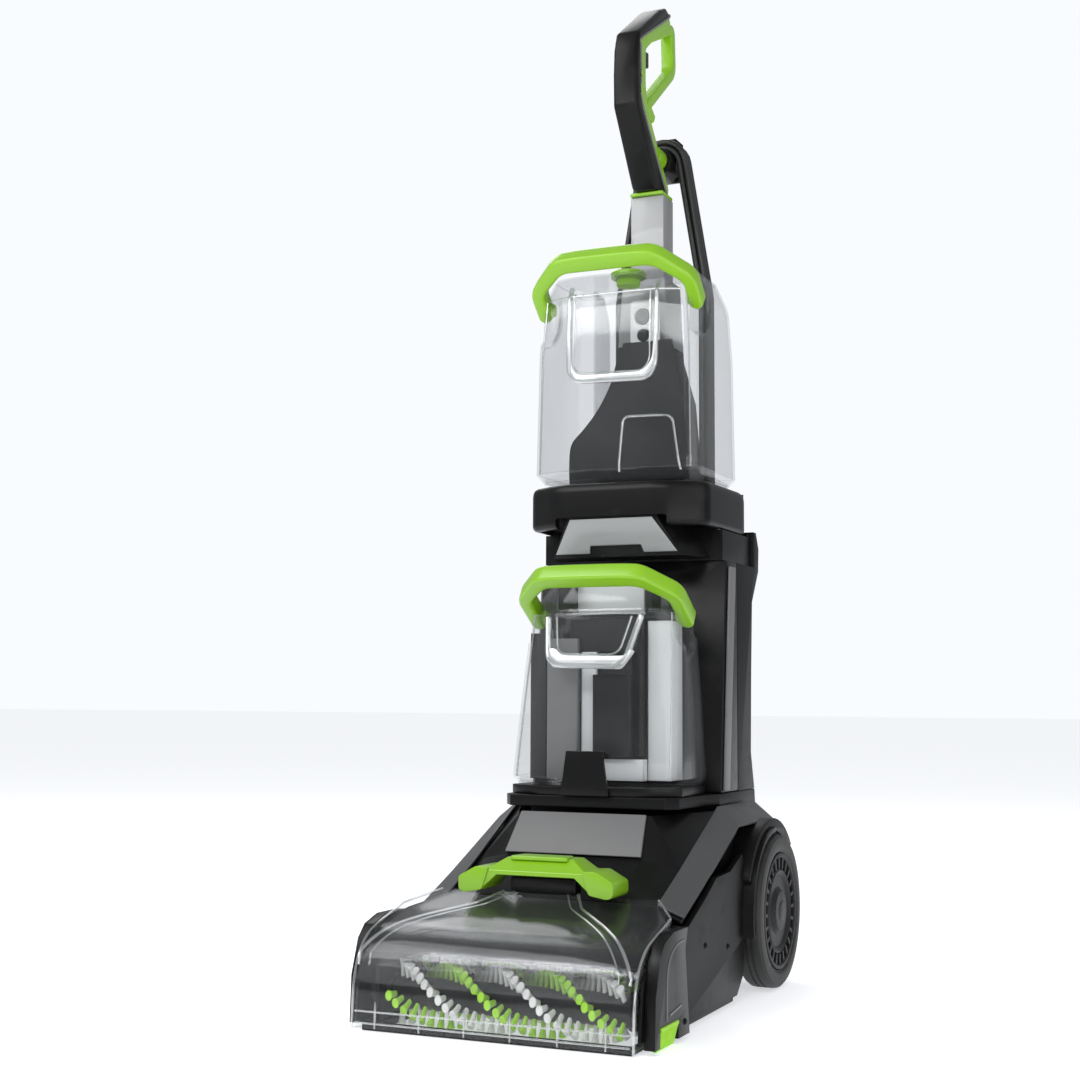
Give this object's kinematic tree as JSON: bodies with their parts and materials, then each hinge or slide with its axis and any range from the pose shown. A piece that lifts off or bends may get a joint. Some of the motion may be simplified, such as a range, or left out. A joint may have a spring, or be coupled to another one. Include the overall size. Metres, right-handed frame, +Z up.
{
  "type": "carpet cleaner machine",
  "caption": "Upright carpet cleaner with a clear nozzle over twin brush rolls, a reclining body, two lift-off tanks with carry handles, wound mains lead and a loop handle.",
  "frame": {"origin": "on the floor under the middle of the machine's footprint", "axes": "+Z up; the nozzle is towards -Y and the wheels towards +Y; +X is the machine's left-hand side seen from behind, to the right seen from the front"},
  "size_m": [0.311, 0.492, 1.1182],
  "materials": {
    "black_plastic": "satin",
    "charcoal_plastic": "matte",
    "panel_grey": "satin",
    "trim_grey": "satin",
    "green_plastic": "satin",
    "bristle": "bristle",
    "silver_plastic": "satin",
    "rubber": "matte",
    "clear_plastic": "clear",
    "smoke_plastic": "tinted",
    "steel": "brushed"
  },
  "bodies": {
    "foot": {"foot_chassis": "black_plastic", "foot_top_cover": "black_plastic", "front_panel": "panel_grey", "sole_plate": "charcoal_plastic", "spray_bar": "charcoal_plastic", "suction_duct": "charcoal_plastic", "shoulder_trim_left": "trim_grey", "shoulder_trim_right": "trim_grey", "foot_side_left": "black_plastic", "foot_side_right": "black_plastic", "nozzle_cheek_left": "black_plastic", "nozzle_cheek_right": "black_plastic", "edge_brush_left": "bristle", "edge_brush_right": "bristle", "wheel_axle": "steel", "brush_motor": "steel", "drive_belt": "rubber"},
    "front_brush": {"front_brush_roll": "bristle"},
    "rear_brush": {"rear_brush_roll": "bristle"},
    "brush_drive": {"motor_pulley": "steel"},
    "left_wheel": {"tyre_left": "rubber", "wheel_rim_left": "charcoal_plastic"},
    "right_wheel": {"tyre_right": "rubber", "wheel_rim_right": "charcoal_plastic"},
    "pedal": {"recline_pedal": "black_plastic"},
    "nozzle": {"nozzle_window": "clear_plastic", "suction_channel": "clear_plastic"},
    "latch": {"nozzle_latch": "green_plastic"},
    "upright": {"lower_housing": "black_plastic", "spine_shell": "black_plastic", "rear_cover": "black_plastic", "accent_strip_left": "panel_grey", "accent_strip_right": "panel_grey", "suction_motor": "steel", "water_pump": "charcoal_plastic", "riser_duct": "charcoal_plastic", "collar": "black_plastic", "collar_label": "silver_plastic", "backbone": "charcoal_plastic", "stem": "silver_plastic", "grip_cover": "black_plastic", "handle_frame": "green_plastic", "lower_cord_hook": "black_plastic", "strain_relief": "rubber", "cord_lead": "rubber", "cord_winding": "rubber", "power_plug": "rubber"},
    "fan": {"motor_fan": "charcoal_plastic"},
    "spray_trigger": {"trigger": "black_plastic"},
    "power_switch": {"power_button": "charcoal_plastic"},
    "cord_hook": {"upper_cord_hook": "black_plastic"},
    "dirty_tank": {"dirty_tank_shell": "clear_plastic", "dirty_tank_base": "black_plastic", "dirty_tank_lid": "black_plastic", "separator": "charcoal_plastic"},
    "shutoff_float": {"float": "silver_plastic"},
    "dirty_handle": {"dirty_tank_handle": "green_plastic"},
    "clean_tank": {"clean_tank_shell": "smoke_plastic"},
    "tank_cap": {"clean_tank_cap": "green_plastic"},
    "clean_handle": {"clean_tank_handle": "green_plastic"}
  },
  "joints": [
    {"name": "recline", "type": "hinge", "parent": "foot", "child": "upright", "pos_m": [0, 0.149, 0.08], "axis": [-1, 0, 0], "range_deg": [0, 60]},
    {"name": "left_wheel_spin", "type": "hinge", "parent": "foot", "child": "left_wheel", "pos_m": [-0.14, 0.149, 0.08], "axis": [1, 0, 0], "continuous": true},
    {"name": "right_wheel_spin", "type": "hinge", "parent": "foot", "child": "right_wheel", "pos_m": [0.14, 0.149, 0.08], "axis": [1, 0, 0], "continuous": true},
    {"name": "front_brush_spin", "type": "hinge", "parent": "foot", "child": "front_brush", "pos_m": [0, -0.208, 0.032], "axis": [1, 0, 0], "continuous": true},
    {"name": "rear_brush_spin", "type": "hinge", "parent": "foot", "child": "rear_brush", "pos_m": [0, -0.146, 0.032], "axis": [1, 0, 0], "continuous": true},
    {"name": "brush_drive_spin", "type": "hinge", "parent": "foot", "child": "brush_drive", "pos_m": [-0.12, -0.052, 0.06], "axis": [1, 0, 0], "continuous": true},
    {"name": "pedal_press", "type": "hinge", "parent": "foot", "child": "pedal", "pos_m": [-0.08, 0.211, 0.03], "axis": [-1, 0, 0], "range_deg": [0, 10], "stiffness_Nm_per_rad": 0.8, "springref_deg": -8.59},
    {"name": "nozzle_lift_off", "type": "slide", "parent": "foot", "child": "nozzle", "axis": [0, -0.6, 0.8], "range_m": [0, 0.1]},
    {"name": "latch_lift", "type": "hinge", "parent": "nozzle", "child": "latch", "pos_m": [0, -0.11, 0.134], "axis": [-1, 0, 0], "range_deg": [0, 55]},
    {"name": "fan_spin", "type": "hinge", "parent": "upright", "child": "fan", "pos_m": [0.04, 0.154, 0.3], "axis": [0, 0, 1], "continuous": true},
    {"name": "trigger_pull", "type": "hinge", "parent": "upright", "child": "spray_trigger", "pos_m": [0, 0.129, 1.038], "axis": [-1, 0, 0], "range_deg": [0, 10], "stiffness_Nm_per_rad": 0.08, "springref_deg": -8.59},
    {"name": "power_press", "type": "slide", "parent": "upright", "child": "power_switch", "axis": [0, -1, 0], "range_m": [0, 0.002], "stiffness_N_per_m": 300, "springref_m": -0.002},
    {"name": "cord_hook_turn", "type": "hinge", "parent": "upright", "child": "cord_hook", "pos_m": [0, 0.22, 0.932], "axis": [0, 1, 0], "range_deg": [0, 180]},
    {"name": "dirty_tank_pull", "type": "slide", "parent": "upright", "child": "dirty_tank", "axis": [0, -1, 0], "range_m": [0, 0.12]},
    {"name": "float_rise", "type": "slide", "parent": "dirty_tank", "child": "shutoff_float", "axis": [0, 0, 1], "range_m": [0, 0.045]},
    {"name": "dirty_handle_swing", "type": "hinge", "parent": "dirty_tank", "child": "dirty_handle", "pos_m": [0, 0.05, 0.39], "axis": [-1, 0, 0], "range_deg": [0, 24]},
    {"name": "clean_tank_lift", "type": "slide", "parent": "upright", "child": "clean_tank", "axis": [0, 0, 1], "range_m": [0, 0.1]},
    {"name": "tank_cap_turn", "type": "hinge", "parent": "clean_tank", "child": "tank_cap", "pos_m": [0, 0.1, 0.77], "axis": [0, 0, 1], "range_deg": [0, 90]},
    {"name": "clean_handle_swing", "type": "hinge", "parent": "clean_tank", "child": "clean_handle", "pos_m": [0, 0.074, 0.734], "axis": [-1, 0, 0], "range_deg": [0, 38]}
  ],
  "couplings": [
    {"joint": "rear_brush_spin", "follows": "front_brush_spin", "ratio": 1},
    {"joint": "brush_drive_spin", "follows": "front_brush_spin", "ratio": 1.2857}
  ]
}
